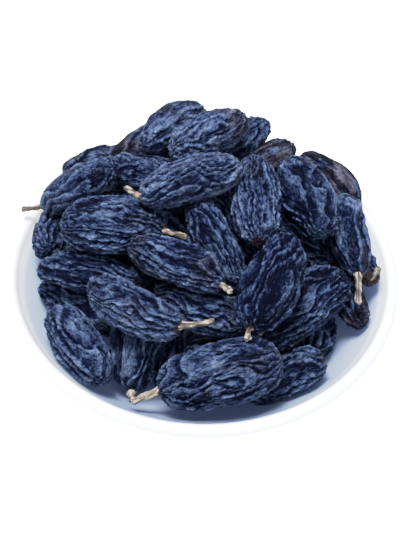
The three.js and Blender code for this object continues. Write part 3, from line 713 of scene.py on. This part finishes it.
def skin():
    material, shader, add, link = nodeTools("driedGrapeSkin")
    s = skinLook
    lie = add("ShaderNodeAttribute", attribute_name="lie")
    crest = add("ShaderNodeAttribute", attribute_name="crest")
    purple = add("ShaderNodeAttribute", attribute_name="purple")
    scar = add("ShaderNodeAttribute", attribute_name="scar")

    # Fine crinkles that run lengthwise, grains and worn patches
    lengthwise = add("ShaderNodeMapping", Scale=s["lengthwise"])
    link(lie.outputs["Vector"], lengthwise.inputs["Vector"])
    crinkles = add("ShaderNodeTexNoise", noise_type="RIDGED_MULTIFRACTAL", **s["crinkles"])
    link(lengthwise.outputs["Vector"], crinkles.inputs["Vector"])
    grains = add("ShaderNodeTexNoise", **s["grains"])
    link(lie.outputs["Vector"], grains.inputs["Vector"])
    clouds = add("ShaderNodeTexNoise", **s["clouds"])
    link(lie.outputs["Vector"], clouds.inputs["Vector"])

    # A net of drawn-out creases, painted darker along their lines as painted shade, and dented by bump
    sway = add("ShaderNodeTexNoise", **s["sway"])
    link(lengthwise.outputs["Vector"], sway.inputs["Vector"])
    swayed = add("ShaderNodeVectorMath", operation="MULTIPLY_ADD")
    link(sway.outputs["Color"], swayed.inputs[0])
    swayed.inputs[1].default_value = s["swayAmount"]
    link(lengthwise.outputs["Vector"], swayed.inputs[2])
    net = add("ShaderNodeTexVoronoi", feature="DISTANCE_TO_EDGE", Scale=s["netScale"])
    link(swayed.outputs["Vector"], net.inputs["Vector"])
    creases = add("ShaderNodeMapRange", interpolation_type="SMOOTHSTEP")
    creases.inputs["From Max"].default_value = s["creaseWidth"]
    link(net.outputs["Distance"], creases.inputs["Value"])

    # Bloom lies on the crests and is worn off in patches. The same values paint shade into the valleys and
    # creases, and paint highlight onto the crests and crinkles
    heights = {
        "crest": crest.outputs["Fac"], "crinkles": crinkles.outputs["Fac"],
        "grains": grains.outputs["Fac"], "clouds": clouds.outputs["Fac"],
        "creases": creases.outputs["Result"],
    }
    bloomAndPaintedLight = None
    for name, share in s["bloomAndPaintedLight"].items():
        more = add("ShaderNodeMath", operation="MULTIPLY_ADD")
        link(heights[name], more.inputs[0])
        more.inputs[1].default_value = share
        more.inputs[2].default_value = 0
        if bloomAndPaintedLight:
            link(bloomAndPaintedLight, more.inputs[2])
        bloomAndPaintedLight = more.outputs["Value"]
    blue = ramp(add, s["blue"])
    brown = ramp(add, s["brown"])
    link(bloomAndPaintedLight, blue.inputs["Fac"])
    link(bloomAndPaintedLight, brown.inputs["Fac"])
    both = add("ShaderNodeMix", data_type="RGBA")
    link(purple.outputs["Fac"], both.inputs["Factor"])
    link(blue.outputs["Color"], both.inputs["A"])
    link(brown.outputs["Color"], both.inputs["B"])
    corky = ramp(add, s["scar"])
    link(grains.outputs["Fac"], corky.inputs["Fac"])
    scarred = add("ShaderNodeMix", data_type="RGBA")
    link(scar.outputs["Fac"], scarred.inputs["Factor"])
    link(both.outputs["Result"], scarred.inputs["A"])
    link(corky.outputs["Color"], scarred.inputs["B"])
    link(scarred.outputs["Result"], shader.inputs["Base Color"])

    # Worn patches are a little rougher
    rough = add("ShaderNodeMapRange")
    rough.inputs["From Min"].default_value, rough.inputs["From Max"].default_value = s["cloudRange"]
    rough.inputs["To Min"].default_value, rough.inputs["To Max"].default_value = s["roughness"]
    link(clouds.outputs["Fac"], rough.inputs["Value"])
    link(rough.outputs["Result"], shader.inputs["Roughness"])

    normal = None
    for name, (strength, height) in s["bumps"].items():
        bump = add("ShaderNodeBump", Strength=strength, Distance=height)
        link(heights[name], bump.inputs["Height"])
        if normal:
            link(normal, bump.inputs["Normal"])
        normal = bump.outputs["Normal"]
    link(normal, shader.inputs["Normal"])
    shader.inputs["IOR"].default_value = s["ior"]
    shader.inputs["Specular IOR Level"].default_value = s["gloss"]
    shader.inputs["Specular Tint"].default_value = s["glossTint"]
    return material


woodLook = {
    "speckScale": 3.2,
    "speckDetail": 3,
    "speckRoughness": 0.7,
    "wood": [
        (0.15, (0.03, 0.021, 0.017)), (0.5, (0.115, 0.089, 0.072)), (0.85, (0.34, 0.285, 0.24)),
    ],
    "specks": [(0.4, (0.1, 0.06, 0.04)), (0.5, (1, 1, 1))],
    "speckShare": 0.75,
    "bumpStrength": 0.6,
    "bumpHeight": 0.15 * mm,
    "roughness": 0.78,
}


def stalkWood():
    material, shader, add, link = nodeTools("dryStalk")
    w = woodLook
    lie = add("ShaderNodeAttribute", attribute_name="lie")
    crest = add("ShaderNodeAttribute", attribute_name="crest")
    specks = add(
        "ShaderNodeTexNoise", Scale=w["speckScale"], Detail=w["speckDetail"], Roughness=w["speckRoughness"],
    )
    link(lie.outputs["Vector"], specks.inputs["Vector"])
    wood = ramp(add, w["wood"])
    link(crest.outputs["Fac"], wood.inputs["Fac"])
    dots = ramp(add, w["specks"])
    link(specks.outputs["Fac"], dots.inputs["Fac"])
    mixed = add("ShaderNodeMix", data_type="RGBA", blend_type="MULTIPLY")
    mixed.inputs["Factor"].default_value = w["speckShare"]
    link(wood.outputs["Color"], mixed.inputs["A"])
    link(dots.outputs["Color"], mixed.inputs["B"])
    link(mixed.outputs["Result"], shader.inputs["Base Color"])
    bump = add("ShaderNodeBump", Strength=w["bumpStrength"], Distance=w["bumpHeight"])
    link(specks.outputs["Fac"], bump.inputs["Height"])
    link(bump.outputs["Normal"], shader.inputs["Normal"])
    shader.inputs["Roughness"].default_value = w["roughness"]
    return material


# Floor and light

studio = {
    "floorSize": 6,
    "floorTone": (0.35, 0.35, 0.35),
    "floorRoughness": 0.8,
    "floorGlow": 2.65,  # makes the floor white all over, also in the bowl's shadow
    "skyTone": (0.8, 0.9, 1.03),
    "skyStrength": 0.95,
    "keyPlace": (-0.09, 0.01, 0.67),
    "keySize": 0.26,
    "keyPower": 12.6,
    "fillPlace": (0.2, -0.5, 0.5),
    "fillSize": 0.5,
    "fillPower": 1.6,
    "filmCurve": (  # light in, tone out: bright parts are held back, as on film
        (0, 0), (0.15, 0.15), (0.4, 0.4), (0.6, 0.57), (1, 0.7), (1.6, 0.8), (2.2, 0.88), (3, 1),
    ),
}


def softLight(name, place, size, power):
    data = bpy.data.lights.new(name, "AREA")
    data.shape = "DISK"
    data.size = size
    data.energy = power
    lamp = bpy.data.objects.new(name, data)
    lamp.location = place
    lamp.rotation_euler = (-Vector(place)).to_track_quat("-Z", "Y").to_euler()
    bpy.context.scene.collection.objects.link(lamp)


def addStudio():
    s = studio
    bm = bmesh.new()
    bmesh.ops.create_grid(bm, x_segments=1, y_segments=1, size=s["floorSize"] / 2)
    floor = meshPiece("floor", bm)
    material, shader = nodeTools("paleFloor")[:2]
    shader.inputs["Base Color"].default_value = (*s["floorTone"], 1)
    shader.inputs["Roughness"].default_value = s["floorRoughness"]
    shader.inputs["Emission Color"].default_value = (1, 1, 1, 1)
    shader.inputs["Emission Strength"].default_value = s["floorGlow"]
    floor.data.materials.append(material)
    floor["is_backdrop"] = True
    world = bpy.data.worlds.new("studio")
    world.use_nodes = True
    sky = world.node_tree.nodes["Background"]
    sky.inputs["Color"].default_value = (*s["skyTone"], 1)
    sky.inputs["Strength"].default_value = s["skyStrength"]
    bpy.context.scene.world = world
    softLight("key", s["keyPlace"], s["keySize"], s["keyPower"])
    softLight("fill", s["fillPlace"], s["fillSize"], s["fillPower"])
    setFilmCurve()


def setFilmCurve():
    view = bpy.context.scene.view_settings
    view.view_transform = "Standard"
    view.use_curve_mapping = True
    mapping = view.curve_mapping
    brightest = studio["filmCurve"][-1][0]
    mapping.white_level = (brightest, brightest, brightest)
    points = mapping.curves[3].points
    for light, tone in studio["filmCurve"][1:-1]:
        points.new(light / brightest, tone)
    mapping.update()


addCamera()
addStudio()
skinMaterial = skin()
stalkMaterial = stalkWood()
print("camera, light and materials made")

makeBowl()
print("bowl made")

for number, node in enumerate(sorted(nodes)):
    if node.startswith("raisin_"):
        makeRaisin(node, number)
    elif node.startswith("stuck_"):
        makeStuckRaisins(node, number)
print("raisins made")

triangles = 0
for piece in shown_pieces():
    piece.data.calc_loop_triangles()
    triangles += len(piece.data.loop_triangles)
print("triangles", triangles)
